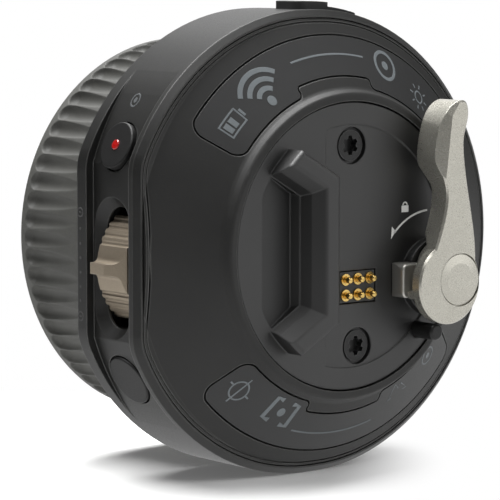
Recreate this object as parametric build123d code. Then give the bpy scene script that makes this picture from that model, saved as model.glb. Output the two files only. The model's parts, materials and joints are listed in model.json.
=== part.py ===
from build123d import *
from math import acos, asin, atan2, cos, degrees, pi, radians, sin, sqrt, tan
import os

# A wireless focus demand: a fluted focus wheel on a drum housing, with a quick-release mount behind it.
# The main axis lies along Y. The mount plate's face is at Y = 0 and faces -Y, the wheel is towards +Y,
# and the control flank with the record button and the thumb lever faces -X. Lengths are in millimetres.

# Shared clearances
overrun = 1.0
touch_gap = 0.02
running_gap = 0.04
moving_gap = 0.3
slip_gap = 0.1
seam = 0.2

# Drum
drum_radius = 37.75
control_shift = 1.65
flank_cut = 2.8
flank_corner = 8.0
drum_rear = 8.1
drum_front = 24.1
drum_wall = 2.0
flank_wall = 5.2
web_thickness = 2.5
rear_bevel = 1.0
rear_land = 0.25
front_round = 0.4

# Control channel on the flank
channel_depth = 1.45
channel_rear = 10.1
channel_front = 21.4
channel_deep_height = 14.2
channel_run_out_height = 27.0
channel_run_out_round = 22.0

# Thumb lever and its slot
thumb_height = -2.5
thumb_pivot_depth = 11.0
thumb_radius = 10.6
thumb_rear = 11.9
thumb_front = 19.1
thumb_half_angle = 50.0
thumb_hub_radius = 4.2
thumb_axle_radius = 1.5
thumb_tab_height = 1.3
thumb_tab_thickness = 1.8
thumb_tab_front_share = 0.52
thumb_tab_sink = 0.6
thumb_tab_fillet = 1.0
thumb_rib_radius = 0.5
thumb_rib_angles = (22.0, 29.5, 37.0, 44.5)
thumb_boss_radius = 3.2
thumb_clip_radius = 2.8
thumb_clip_thickness = 0.6
thumb_magnet_radius = 1.4
thumb_magnet_length = 1.6
slot_half_length = 9.7
slot_bevel = 1.6
slot_bevel_depth = 1.2
slot_lip = 0.4

# Push buttons on the flank
record_radius = 3.85
lower_radius = 4.3
button_gap = 0.25
button_station = 15.9
record_height = 16.75
lower_height = -20.5
record_proud = 0.7
lower_proud = 0.25
button_skin = 1.2
button_flange = 0.7
button_flange_thickness = 0.8
button_round = 0.3
button_travel = 0.5
jewel_radius = 0.85
jewel_proud = 0.25
switch_side = 6.0
switch_height = 1.4
actuator_radius = 1.7
actuator_height = 0.9
ledge_thickness = 1.2
ledge_width = 7.0

# Rear cover
cover_flange = 1.5
cover_wall = 2.2
cone_slope = 0.63
collar_crest_width = 1.25
collar_slope_width = 0.7
collar_rise = 0.3
collar_crest_round = 0.7
collar_foot_round = 1.2
seat_thickness = 2.0
seat_hole_radius = 14.0
rim_groove_inset = 0.4
rim_groove_width = 0.25
rim_groove_depth = 0.5

# Label plates let into the cover
label_rim_margin = 4.15
label_collar_margin = 0.45
label_lobe_share = 0.21
label_thickness = 0.8
label_gap = 0.3
label_corner_share = 0.25
lobe_corner_share = 0.1
upper_label_angles = (34.0, 144.5)
upper_lobe_angles = (77.0, 110.0)
lower_label_angles = (-139.0, -36.0)
lower_lobe_angles = (-106.0, -72.0)

# Cover screws under the label plates
cover_screw_angles = (128.0, 52.0, -52.0, -128.0)
cover_screw_radius = 1.0
cover_screw_head_radius = 1.6
cover_screw_head_height = 1.2
cover_screw_length = 9.0
cover_boss_radius = 3.2
housing_boss_radius = 2.8

# Mount plate
plate_radius = 23.1
plate_gap = 0.25
plate_thickness = 3.4
floor_step = 0.25
floor_radius = 19.6
plate_screw_x = 1.05
plate_screw_lean = 0.65
plate_screw_margin = 6.9
plate_screw_radius = 1.5
plate_screw_head_radius = 2.5
plate_screw_seat_radius = 3.0
plate_screw_length = 8.0
plate_screw_sink = 0.3
plate_screw_relief = 0.6
drive_lobes = 6
drive_radius = 1.6
drive_notch = 0.43
drive_depth = 1.3

# Fixed jaw on the mount plate
jaw_face = 5.1
jaw_height = 3.85
jaw_shoulder = 1.9
jaw_top_width = 2.9
jaw_shoulder_width = 4.5
jaw_foot_width = 5.4
jaw_bend_height = 11.8
jaw_arm_angle = 30.0
jaw_arm_length = 16.0
jaw_rim_margin = 2.5
jaw_undercut = 1.0
jaw_undercut_height = 2.4
jaw_round = 0.8
scoop_depth = 1.6
scoop_foot_width = 6.1
scoop_reach = 18.2
scoop_rim_margin = 3.0

# Spring contacts
pin_pitch = 2.54
pin_columns = 3
pin_rows = 2
contact_shift = 0.55
contact_height = -6.6
contact_block_length = 7.3
contact_block_width = 5.0
contact_block_sink = 0.15
contact_block_depth = 4.2
contact_flange = 0.7
contact_flange_thickness = 1.0
barrel_radius = 0.95
barrel_bore_radius = 0.82
barrel_lip = 0.4
barrel_sink = 0.1
barrel_tail = 0.8
plunger_radius = 0.52
plunger_collar_radius = 0.78
plunger_collar_length = 1.1
plunger_proud = 1.2
plunger_tip_round = 0.3

# Lock lever, its pivot and the latch
pivot_rim_margin = 5.6
pivot_height = -6.0
lever_top = -7.1
lever_hub_underside = -5.2
lever_arm_underside = -3.4
lever_paddle_underside = -1.7
lever_hub_radius = 6.6
lever_hub_shift = 2.2
lever_hub_drop = 0.5
lever_length = 29.0
lever_paddle_width = 6.0
lever_edge = 0.3
lever_bevel_width = 1.7
lever_bevel_drop = 0.9
cam_radius = 4.8
cam_offset = 1.4
cam_clearance = 0.15
pivot_radius = 2.5
pivot_head_radius = 3.4
pivot_head_height = 0.8
pivot_foot_radius = 3.5
pivot_foot_height = 0.6
cap_radius = 4.15
cap_gap = 0.2
cap_thickness = 0.7
cap_crown_radius = 2.7
cap_rim_drop = 0.18
boss_radius = 6.45
boss_height = 1.4
spring_wire = 0.8
latch_length = 4.05
latch_width = 5.5
latch_height = 3.25
latch_root = 1.1
latch_undercut = 0.6
latch_lip = 0.8
latch_ledge = 0.75
latch_corner = 0.9
latch_edge = 0.35
latch_travel = 0.9
stop_pin_reach = 9.08
stop_pin_rim_margin = 2.45
stop_pin_radius = 1.35
stop_pin_rise = 4.8
stop_pin_round = 0.5
lug_inner_radius = 7.2
lug_outer_radius = 8.6
lug_angle = 195.0
lug_half_angle = 4.0
lug_height = 1.5

# The lever's blade, from the hub up the right edge, round the tip and down the left edge.
# Each pair is a share of the paddle's width and a share of the lever's length, from the pivot.
blade_shares = (
    (0.58, 0.10),
    (0.46, 0.33),
    (0.13, 0.71),
    (0.13, 0.80),
    (0.28, 0.94),
    (0.16, 1.00),
    (-0.10, 1.00),
    (-0.44, 0.95),
    (-0.66, 0.86),
    (-0.79, 0.73),
    (-0.79, 0.67),
    (-0.57, 0.56),
    (-0.68, 0.30),
    (-1.10, 0.10),
)
# Where the lever's underside steps down from the hub to the arm and from the arm to the paddle.
underside_hub_share = 0.17
underside_arm_share = 0.27
underside_neck_share = 0.52
underside_paddle_share = 0.64
# Corners of the line where the paddle's bevel starts, as shares of the same two sizes.
bevel_shares = ((-0.55, 0.555), (-0.33, 0.92), (0.0, 1.01))

# Focus wheel
wheel_gap = 0.6
wheel_front = 46.8
grip_radius = 32.2
grip_root_radius = 30.6
grip_bore_radius = 28.6
grip_band_share = 0.12
grip_crest_share = 0.8
grip_lip_radius = 26.6
grip_round = 0.5
flute_count = 64
flute_radius = 1.6
flute_floor_radius = 31.1
flute_end = 45.3
core_rim_thickness = 2.4
core_rim_inset = 0.3
core_plate_rear = 41.0
core_plate_front = 43.2
core_rim_front = 45.6
core_hub_radius = 13.0
core_hub_rear = 29.5
core_shoulder_radius = 9.5

# Wheel bearings on the fixed stem
stem_radius = 6.0
stem_bore_radius = 3.5
stem_flange_radius = 11.0
stem_flange_thickness = 1.7
stem_shoulder_radius = 7.2
stem_screw_circle = 8.5
stem_screw_count = 3
stem_screw_radius = 0.8
stem_screw_head_radius = 1.5
stem_screw_head_height = 0.9
stem_screw_length = 3.0
bearing_outer_radius = 10.5
bearing_width = 5.0
bearing_stations = (29.8, 36.0)
race_thickness = 1.4
ball_radius = 1.19
ball_gap = 0.02
ball_count = 12
nut_radius = 9.0
nut_thickness = 2.0

# Ring gear and encoder pinion
gear_module = 0.8
ring_teeth = 60
pinion_teeth = 15
gear_width = 3.2
gear_backlash = 0.2
tooth_addendum_share = 0.9
tooth_dedendum_share = 1.25
tooth_tip_share = 0.5
pinion_angle = -60.0
pinion_shaft_radius = 1.5
pinion_boss_radius = 3.0
pinion_boss_height = 0.9
magnet_cup_radius = 3.0
magnet_cup_length = 2.4
magnet_radius = 2.0
magnet_length = 1.4
sensor_gap = 0.6
sensor_side = 4.0
sensor_height = 0.9
encoder_board_length = 11.0
encoder_board_width = 7.0
board_thickness = 1.2
encoder_post_radius = 1.1
encoder_post_spread = 4.2
encoder_post_drop = 2.2

# Front of the wheel
disc_inner_gap = 0.8
disc_outer_gap = 0.2
disc_thickness = 1.4
front_cap_radius = 13.8
front_cap_thickness = 2.6
front_cap_gap = 0.5
front_cap_round = 0.5
display_width = 15.0
display_height = 8.6
display_depth = 1.6
window_thickness = 0.6
window_margin = 0.8
spigot_length = 3.0

# Electronics inside the drum
main_board_rear = 11.4
board_margin = 0.9
post_radius = 2.0
post_margin = 2.7
post_angles = (90.0, -90.0, 0.0)
board_screw_radius = 0.8
board_screw_head_radius = 1.6
board_screw_head_height = 0.9
board_screw_length = 5.0
battery_margin = 2.3
battery_width = 24.0
battery_height = 1.0
battery_round = 1.5

# Charging port and its rubber cover on top of the drum
port_x = 3.5
port_length = 8.9
port_width = 3.2
port_depth = 7.2
port_wall = 0.3
port_tongue_thickness = 0.7
port_inset = 1.6
window_clearance = 0.35
tongue_width = 12.0
tongue_margin = 4.15
flap_x = 4.5
flap_half_length = 6.5
flap_half_width = 3.4
flap_anchor_length = 2.3
flap_seat = 0.8
flap_proud = 0.6
flap_tab_proud = 1.3
flap_tab_length = 6.2
flap_plug_margin = 0.45
flap_gap = 0.15

# Stations and places that follow from the sizes above
web_rear = drum_front - web_thickness
flank_reach = drum_radius + control_shift - flank_cut
opening_inset = rear_bevel + rear_land
cover_inset = opening_inset + seam
cover_rim_radius = drum_radius - cover_inset
ledge_station = drum_rear + cover_flange
seat_radius = plate_radius + plate_gap
seat_front = plate_thickness + seat_thickness
collar_crest_radius = seat_radius + collar_crest_width
collar_foot_radius = collar_crest_radius + collar_slope_width
label_inner_radius = collar_foot_radius + label_collar_margin
label_outer_radius = drum_radius - label_rim_margin
label_width = label_outer_radius - label_inner_radius
label_lobe_radius = label_inner_radius + label_lobe_share * label_width
cover_screw_circle = (label_inner_radius + label_outer_radius) / 2
cavity_flat = flank_reach - flank_wall
thumb_x = thumb_pivot_depth - flank_reach
wheel_rear = drum_front + wheel_gap
core_outer_radius = grip_bore_radius
core_rim_radius = core_outer_radius - core_rim_thickness
gear_rear = wheel_rear + moving_gap + pinion_boss_height
ring_pitch_radius = gear_module * ring_teeth / 2
pinion_pitch_radius = gear_module * pinion_teeth / 2
pinion_distance = ring_pitch_radius - pinion_pitch_radius
pinion_x = pinion_distance * cos(radians(pinion_angle))
pinion_height = pinion_distance * sin(radians(pinion_angle))
ball_circle = (stem_radius + bearing_outer_radius) / 2
disc_inner_radius = front_cap_radius + disc_inner_gap
disc_outer_radius = core_rim_radius - disc_outer_gap
main_board_front = main_board_rear + board_thickness
main_board_radius = cover_screw_circle - housing_boss_radius - board_margin
main_board_left = thumb_x + thumb_hub_radius + board_margin
post_circle = main_board_radius - post_margin
battery_left = thumb_x + thumb_hub_radius + 2 * battery_margin
battery_right = post_circle - post_radius - battery_margin
port_station = main_board_front + port_width / 2
front_cap_rear = core_plate_front + front_cap_gap
pivot_x = plate_radius - pivot_rim_margin
latch_back = pivot_x - cam_radius - cam_clearance
latch_face = latch_back - latch_length
latch_foot = latch_face + latch_undercut
latch_root_left = latch_foot + latch_travel + moving_gap
latch_root_width = latch_width - 2 * latch_ledge
contact_x = (latch_face - latch_travel - jaw_face) / 2 + contact_shift
plate_screw_height = plate_radius - plate_screw_margin
plate_screw_places = [
    (plate_screw_x - plate_screw_lean, plate_screw_height),
    (plate_screw_x + plate_screw_lean, -plate_screw_height),
]
magnet_cup_rear = web_rear - moving_gap - magnet_cup_length
encoder_board_front = magnet_cup_rear - sensor_gap - sensor_height
tongue_reach = drum_radius - tongue_margin
port_top = sqrt(drum_radius ** 2 - port_x ** 2) - port_inset
flap_hinge_x = flap_x + flap_half_length - flap_anchor_length
screw_head_station = floor_step + plate_screw_sink
screw_head_height = plate_screw_head_radius - plate_screw_radius
contact_rear = floor_step + contact_block_sink


def cone_station(radius):
    """Station of the cover's conical rear face at a radius."""
    return drum_rear - (cover_rim_radius - radius) * cone_slope


# The channel's floor is a flat that runs out along an arc on each shoulder of the drum.
def channel_arc():
    """Centre and radius of the arc, from a point at full depth and the point where the channel runs out."""
    deep_x = -control_shift - sqrt((drum_radius - channel_depth) ** 2 - channel_deep_height ** 2)
    end_x = -control_shift - sqrt(drum_radius ** 2 - channel_run_out_height ** 2)
    deep_square = deep_x ** 2 + channel_deep_height ** 2
    end_square = end_x ** 2 + channel_run_out_height ** 2
    center = (end_square - deep_square) / (2 * (end_x - deep_x))
    radius = sqrt((deep_x - center) ** 2 + channel_deep_height ** 2)
    return center, radius


arc_center, arc_radius = channel_arc()


# Basic shapes
def slab(sketch, rear, front):
    """A sketch in X and Z made solid between two stations along the main axis."""
    return extrude(Plane.XZ.offset(-front) * sketch, amount=front - rear, dir=(0, -1, 0))


def turned(points):
    """A closed outline of (radius, station) points turned about the main axis."""
    return revolve(make_face(Polyline(*points, close=True)), Axis.Y)


def post(x, z, radius, rear, front):
    """A round post parallel to the main axis."""
    return slab(Pos(x, z) * Circle(radius), rear, front)


def tube(outer, inner, rear, front):
    """A ring about the main axis."""
    return slab(Circle(outer) - Circle(inner), rear, front)


def polar(radius, angle):
    """X and Z of a point at a radius and an angle about the main axis."""
    return radius * cos(radians(angle)), radius * sin(radians(angle))


def sector(start, end, reach):
    """A pie-shaped face between two angles."""
    middle = (start + end) / 2
    corners = [(0, 0), polar(reach, start), polar(reach * 2, middle), polar(reach, end)]
    return make_face(Polyline(*corners, close=True))


def right_of(x, span):
    """A large face that keeps what lies to the right of x."""
    return Pos(x + span, 0) * Rectangle(2 * span, 4 * span)


def outline(inset):
    """The drum's outline: round, a little longer towards the controls, with a flat flank there."""
    radius = drum_radius - inset
    hull = Circle(radius) + Pos(-control_shift, 0) * Circle(radius)
    hull += Pos(-control_shift / 2, 0) * Rectangle(control_shift, 2 * radius)
    face = hull & right_of(inset - flank_reach, drum_radius)
    corners = face.vertices().sort_by(Axis.X)[:2]
    return fillet(corners, flank_corner)


def group(solids):
    """Separate solids kept together as one node."""
    return Compound(children=list(solids))


# Flank controls: each button has a frame on the channel's floor, with its own axis pointing out.
def button_plane(height):
    """Plane on the channel's floor at a height, its normal pointing out of the drum."""
    floor_x = arc_center - sqrt(arc_radius ** 2 - height ** 2)
    normal = ((floor_x - arc_center) / arc_radius, 0, height / arc_radius)
    return Plane(origin=(floor_x, button_station, height), x_dir=(0, 1, 0), z_dir=normal)


def disc_on(plane, radius, low, high):
    """A round disc on a plane, between two heights along its normal."""
    return extrude(plane.offset(low) * Circle(radius), amount=high - low)


record_place = (record_height, record_radius, record_proud)
lower_place = (lower_height, lower_radius, lower_proud)
flange_back = -(button_skin + button_gap + button_flange_thickness)
actuator_top = flange_back - button_travel - button_gap
ledge_top = actuator_top - actuator_height - switch_height


def switch_ledge(plane):
    """A ledge off the housing's web that carries one switch behind its button."""
    length = web_rear - button_station + switch_side / 2
    middle = length / 2 - switch_side / 2
    sketch = Pos(middle, 0) * Rectangle(length, ledge_width)
    return extrude(plane.offset(ledge_top - ledge_thickness) * sketch, amount=ledge_thickness)


def slot_cutter():
    """The thumb lever's slot along X, with a bevelled mouth and square corners inside the wall."""
    middle = (thumb_rear + thumb_front) / 2
    width = thumb_front - thumb_rear + 2 * moving_gap
    wide = width + slot_bevel
    floor = channel_depth - flank_reach
    inner = Plane(origin=(floor + slot_bevel_depth, middle, thumb_height), x_dir=(0, 0, 1), z_dir=(1, 0, 0))
    mouth_middle = middle + slot_bevel / 2
    mouth = Plane(origin=(floor - touch_gap, mouth_middle, thumb_height), x_dir=(0, 0, 1), z_dir=(1, 0, 0))
    narrow_face = RectangleRounded(2 * slot_half_length, width, width / 2 - touch_gap)
    wide_face = RectangleRounded(2 * (slot_half_length + slot_bevel), wide, wide / 2 - touch_gap)
    slot = loft([mouth * wide_face, inner * narrow_face])
    slot += extrude(inner * narrow_face, amount=slot_lip)
    return slot + extrude(inner.offset(slot_lip) * Rectangle(2 * slot_half_length, width), amount=flank_wall)


def channel_floor():
    """Outline of the channel's floor: a flat, an arc on each shoulder and a round where it runs out."""
    floor = Pos(-control_shift, 0) * Circle(drum_radius + touch_gap)
    floor &= Pos(arc_center, 0) * Circle(arc_radius)
    floor &= right_of(channel_depth - flank_reach, arc_radius)
    corners = floor.vertices().sort_by(Axis.Y)
    return fillet([corners[0], corners[-1]], channel_run_out_round)


def mid_housing():
    """The drum shell, open to the rear, with the web that carries everything."""
    shell = slab(outline(0), drum_rear, drum_front)
    rear_edges = shell.faces().sort_by(Axis.Y)[0].outer_wire().edges()
    shell = chamfer(rear_edges, rear_bevel)
    front_edges = shell.faces().sort_by(Axis.Y)[-1].outer_wire().edges()
    shell = fillet(front_edges, front_round)
    shell -= slab(outline(opening_inset), drum_rear - overrun, ledge_station)
    cavity = outline(drum_wall) & right_of(-cavity_flat, drum_radius)
    shell -= slab(cavity, drum_rear - overrun, web_rear)

    # Channel on the flank, with the slot and the two button bores through its floor.
    band = Circle(drum_radius * 2) - channel_floor()
    band -= right_of(-control_shift, drum_radius * 2)
    shell -= slab(band, channel_rear, channel_front)
    shell -= slot_cutter()

    # Bosses, posts and ledges stand on the web.
    for angle in cover_screw_angles:
        x, z = polar(cover_screw_circle, angle)
        shell += post(x, z, housing_boss_radius, ledge_station, web_rear)
        shell -= post(x, z, cover_screw_radius + touch_gap, ledge_station - overrun, web_rear - overrun)
    for angle in post_angles:
        x, z = polar(post_circle, angle)
        shell += post(x, z, post_radius, main_board_front, web_rear)
        shell -= post(x, z, board_screw_radius + touch_gap, main_board_front - overrun, web_rear - overrun)
    for side in (-1, 1):
        x = pinion_x + side * encoder_post_spread
        z = pinion_height - encoder_post_drop
        shell += post(x, z, encoder_post_radius, encoder_board_front, web_rear)
    for height, radius, _ in (record_place, lower_place):
        plane = button_plane(height)
        shell += switch_ledge(plane)
        shell -= disc_on(plane, radius + button_gap, ledge_top, channel_depth + overrun)
        shell -= disc_on(plane, radius + button_flange + button_gap, ledge_top, -button_skin)
    shell += post(thumb_x, thumb_height, thumb_boss_radius, thumb_front + moving_gap, web_rear)
    shell -= post(thumb_x, thumb_height, thumb_axle_radius + touch_gap, thumb_front, web_rear)
    shell += post(pinion_x, pinion_height, pinion_boss_radius, drum_front, gear_rear - moving_gap)

    # Openings through the web for the stem's cable, its screws and the pinion's shaft.
    shell -= post(0, 0, stem_bore_radius, web_rear - overrun, drum_front + overrun)
    shell -= post(pinion_x, pinion_height, pinion_shaft_radius + running_gap, web_rear - overrun, gear_rear)
    for index in range(stem_screw_count):
        x, z = polar(stem_screw_circle, index * 360 / stem_screw_count)
        shell -= post(x, z, stem_screw_radius + touch_gap, web_rear - overrun, drum_front + overrun)

    # Seat and window for the charging port.
    seat = tube(drum_radius * 2, drum_radius - flap_seat, port_station - flap_half_width - flap_gap,
                port_station + flap_half_width + flap_gap)
    shell -= seat & flap_prism(flap_gap)
    window = Rectangle(port_length + 2 * window_clearance, port_width + 2 * window_clearance)
    window_floor = drum_radius - 2 * drum_wall
    window_plane = Plane(origin=(port_x, port_station, window_floor), x_dir=(1, 0, 0), z_dir=(0, 0, 1))
    shell -= extrude(window_plane * window, amount=2 * drum_wall + overrun)
    return shell


def flap_prism(gap):
    """The block of space over the charging port that its cover takes up, seen from above."""
    length = 2 * (flap_half_length + gap)
    width = 2 * (flap_half_width + gap)
    plane = Plane(origin=(flap_x, port_station, 0), x_dir=(1, 0, 0), z_dir=(0, 0, 1))
    return extrude(plane * RectangleRounded(length, width, flap_half_width / 2), amount=drum_radius * 2)


# Rear cover and label plates
def label_outline(plate_angles, lobe_angles, grow):
    """A label plate seen from behind: an arc with a step round the collar's lobe."""
    reach = drum_radius * 2
    face = (Circle(label_outer_radius) - Circle(label_inner_radius)) & sector(*plate_angles, reach)
    face = fillet(face.vertices(), label_corner_share * label_width)
    face -= Circle(label_lobe_radius) & sector(*lobe_angles, reach)
    lobe_middle = polar(label_lobe_radius, sum(lobe_angles) / 2)
    face = fillet(face.vertices().sort_by_distance(lobe_middle)[:4], lobe_corner_share * label_width)
    return offset(face, grow) if grow else face


def cone_layer(proud, depth):
    """A layer of the cover's conical face, from a little proud of it to a depth along the axis."""
    inner = collar_foot_radius
    outer = cover_rim_radius
    points = [
        (inner, cone_station(inner) - proud),
        (outer, cone_station(outer) - proud),
        (outer, cone_station(outer) + depth),
        (inner, cone_station(inner) + depth),
    ]
    return turned(points)


def label_plate(plate_angles, lobe_angles):
    """One thin label plate, flush with the cover's cone."""
    face = label_outline(plate_angles, lobe_angles, 0)
    return cone_layer(0, label_thickness) & slab(face, -drum_radius, drum_radius)


label_places = ((upper_label_angles, upper_lobe_angles), (lower_label_angles, lower_lobe_angles))
cover_head_seat = cone_station(cover_screw_circle + cover_screw_head_radius + label_gap) + label_thickness
cover_head_seat += cover_screw_head_height + slip_gap


def ring_edges(body, radius):
    """The circular edges of a turned body that have a given radius."""
    rings = body.edges().filter_by(GeomType.CIRCLE)
    return rings.filter_by(lambda ring: abs(ring.radius - radius) < touch_gap)


def rear_cover():
    """The conical cover with the collar round the mount plate and the seats of the label plates."""
    far = drum_radius + control_shift
    inner_rim = cover_rim_radius - (drum_rear + cover_wall - ledge_station) / cone_slope
    inner_seat = cover_rim_radius - (drum_rear + cover_wall - seat_front) / cone_slope
    points = [
        (seat_hole_radius, plate_thickness),
        (seat_radius, plate_thickness),
        (seat_radius, -collar_rise),
        (collar_crest_radius, -collar_rise),
        (collar_foot_radius, cone_station(collar_foot_radius)),
        (cover_rim_radius, drum_rear),
        (far, drum_rear),
        (far, ledge_station),
        (inner_rim, ledge_station),
        (inner_seat, seat_front),
        (seat_hole_radius, seat_front),
    ]
    body = turned(points)
    for radius, rounding in ((collar_crest_radius, collar_crest_round), (collar_foot_radius, collar_foot_round)):
        body = fillet(ring_edges(body, radius), rounding)
    cover = body & slab(outline(cover_inset), -drum_radius, drum_radius)
    groove_inset = cover_inset + rim_groove_inset
    groove = outline(groove_inset) - outline(groove_inset + rim_groove_width)
    cover -= slab(groove, drum_rear - overrun, drum_rear + rim_groove_depth - rim_groove_inset * cone_slope)
    for angle in cover_screw_angles:
        x, z = polar(cover_screw_circle, angle)
        cover += post(x, z, cover_boss_radius, cone_station(cover_screw_circle) + cover_wall, ledge_station)
    for plate_angles, lobe_angles in label_places:
        face = label_outline(plate_angles, lobe_angles, label_gap)
        cover -= cone_layer(overrun, label_thickness) & slab(face, -drum_radius, drum_radius)
    for angle in cover_screw_angles:
        x, z = polar(cover_screw_circle, angle)
        cover -= post(x, z, cover_screw_head_radius + label_gap, -drum_radius, cover_head_seat)
        cover -= post(x, z, cover_screw_radius + label_gap, -drum_radius, drum_front)
    for x, z in plate_screw_places:
        cover += post(x, z, cover_boss_radius, seat_front, plate_screw_length + overrun)
        cover -= post(x, z, plate_screw_radius + touch_gap, 0, plate_screw_length + slip_gap)
    cover -= post(pivot_x, pivot_height, pivot_foot_radius + moving_gap, 0, seat_front + overrun)
    return cover


def cover_screws():
    """Small pan-head screws that hold the cover to the housing's bosses."""
    solids = []
    for angle in cover_screw_angles:
        x, z = polar(cover_screw_circle, angle)
        head = post(x, z, cover_screw_head_radius, cover_head_seat - cover_screw_head_height, cover_head_seat)
        shank = post(x, z, cover_screw_radius, cover_head_seat, cover_head_seat + cover_screw_length)
        solids.append(head + shank)
    return group(solids)


# Mount plate with the fixed jaw
def jaw_outline(width):
    """The jaw seen from behind: an upright bar with two arms that lean out to the rim."""
    across = cos(radians(jaw_arm_angle))
    up = sin(radians(jaw_arm_angle))
    inner_height = jaw_bend_height - width * tan(radians(jaw_arm_angle))
    end_x = -jaw_face - jaw_arm_length * across
    end_height = jaw_bend_height + jaw_arm_length * up
    points = []
    for side in (1, -1):
        half = [
            (-jaw_face, side * jaw_bend_height),
            (end_x, side * end_height),
            (end_x - width * up, side * (end_height - width * across)),
            (-jaw_face - width, side * inner_height),
        ]
        points += half if side > 0 else half[::-1]
    return make_face(Polyline(*points, close=True))


def fixed_jaw():
    """The solid jaw, with its bevelled outer side and its undercut inner side."""
    sections = [
        Plane.XZ.offset(-floor_step) * jaw_outline(jaw_foot_width),
        Plane.XZ.offset(jaw_shoulder) * jaw_outline(jaw_shoulder_width),
        Plane.XZ.offset(jaw_height) * jaw_outline(jaw_top_width),
    ]
    jaw = loft(sections, ruled=True)
    jaw &= slab(Circle(plate_radius - jaw_rim_margin), -jaw_height - overrun, plate_thickness)
    jaw = fillet(jaw.faces().sort_by(Axis.Y)[0].edges(), jaw_round)
    undercut = [
        (-jaw_face, -jaw_undercut_height),
        (-jaw_face + overrun, -jaw_undercut_height),
        (-jaw_face + overrun, plate_thickness),
        (-jaw_face - jaw_undercut, plate_thickness),
        (-jaw_face - jaw_undercut, 0),
    ]
    return jaw - extrude(make_face(Polyline(*undercut, close=True)), amount=jaw_bend_height, both=True)


def scoop_cutter():
    """The hollow outside the jaw, deepest at the jaw's foot and running out towards the rim."""
    foot = -jaw_face - jaw_foot_width
    profile = [
        (foot, -overrun),
        (foot, 0),
        (-jaw_face - scoop_foot_width, scoop_depth),
        (-scoop_reach, 0),
        (-scoop_reach, -overrun),
    ]
    ramp = extrude(make_face(Polyline(*profile, close=True)), amount=plate_radius, both=True)
    height = jaw_bend_height - jaw_foot_width * tan(radians(jaw_arm_angle))
    far_height = height + plate_radius * tan(radians(jaw_arm_angle))
    far_x = foot - plate_radius
    corners = [(foot, -height), (foot, height), (far_x, far_height), (far_x, -far_height)]
    region = make_face(Polyline(*corners, close=True)) & Circle(plate_radius - scoop_rim_margin)
    return ramp & slab(region, -overrun, plate_thickness)


def latch_strip(left, right, width):
    """A rectangle at the pivot's height between two places along X."""
    return Pos((left + right) / 2, pivot_height) * Rectangle(right - left, width)


def latch_space():
    """The slot through the lever's boss where the latch slides, and the groove for its root in the plate."""
    right = latch_back + moving_gap
    slot = latch_strip(latch_face - latch_travel, right, latch_width + 2 * slip_gap)
    groove = latch_strip(latch_foot, right, latch_root_width + 2 * slip_gap)
    space = slab(slot, -boss_height - overrun, floor_step)
    return space + slab(groove, -overrun, latch_root + slip_gap)


def countersink(x, z, gap):
    """A countersunk screw's outline as a cutter or as the screw itself, without its drive."""
    head = plate_screw_head_radius + gap
    shank = plate_screw_radius + gap
    points = [
        (0, screw_head_station),
        (head, screw_head_station),
        (shank, screw_head_station + screw_head_height),
        (shank, plate_screw_length),
        (0, plate_screw_length),
    ]
    return Pos(x, 0, z) * turned(points)


def mount_plate():
    """The round plate, the jaw and the lever's boss in one piece."""
    plate = slab(Circle(plate_radius), 0, plate_thickness)
    plate -= slab(Circle(floor_radius) & right_of(-jaw_face, plate_radius), -overrun, floor_step)
    plate += fixed_jaw()
    plate -= scoop_cutter()
    boss = Pos(pivot_x, pivot_height) * Circle(boss_radius) & Circle(plate_radius)
    plate += slab(boss, -boss_height, plate_thickness)
    plate -= latch_space()
    block = Rectangle(contact_block_length + 2 * seam, contact_block_width + 2 * seam)
    plate -= slab(Pos(contact_x, contact_height) * block, -overrun, plate_thickness + overrun)
    for x, z in plate_screw_places:
        plate -= post(x, z, plate_screw_seat_radius, -overrun, screw_head_station + plate_screw_relief)
        plate -= countersink(x, z, touch_gap)
    plate -= post(pivot_x, pivot_height, pivot_radius + touch_gap, -drum_radius, drum_radius)
    spring_pocket = pivot_radius + 2 * moving_gap + spring_wire
    plate -= post(pivot_x, pivot_height, spring_pocket, -drum_radius, plate_thickness - overrun)
    pin_hole = stop_pin_radius + touch_gap
    return plate - post(*stop_pin_place(), pin_hole, -overrun, plate_thickness + overrun)


def plate_screws():
    """Two countersunk screws with a six-lobe drive."""
    solids = []
    drive = Circle(drive_radius)
    for index in range(drive_lobes):
        x, z = polar(drive_radius + touch_gap, index * 360 / drive_lobes)
        drive -= Pos(x, z) * Circle(drive_notch)
    for x, z in plate_screw_places:
        recess = slab(Pos(x, z) * drive, 0, screw_head_station + drive_depth)
        solids.append(countersink(x, z, 0) - recess)
    return group(solids)


def stop_pin_place():
    """X and Z of the stop pin, from its reach about the pivot and its margin to the plate's rim."""
    circle = plate_radius - stop_pin_rim_margin
    distance = sqrt(pivot_x ** 2 + pivot_height ** 2)
    square = distance ** 2 + circle ** 2 - stop_pin_reach ** 2
    turn = degrees(acos(square / (2 * distance * circle)))
    return polar(circle, degrees(atan2(pivot_height, pivot_x)) - turn)


def stop_pin():
    """The post that the lever's lug meets at the end of its throw."""
    pin = post(*stop_pin_place(), stop_pin_radius, -stop_pin_rise, plate_thickness)
    return fillet(pin.faces().sort_by(Axis.Y)[0].edges(), stop_pin_round)


# Spring contacts
contact_places = []
for row in range(pin_rows):
    for column in range(pin_columns):
        place_x = contact_x + (column - (pin_columns - 1) / 2) * pin_pitch
        place_z = contact_height + (row - (pin_rows - 1) / 2) * pin_pitch
        contact_places.append((place_x, place_z))


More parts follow.
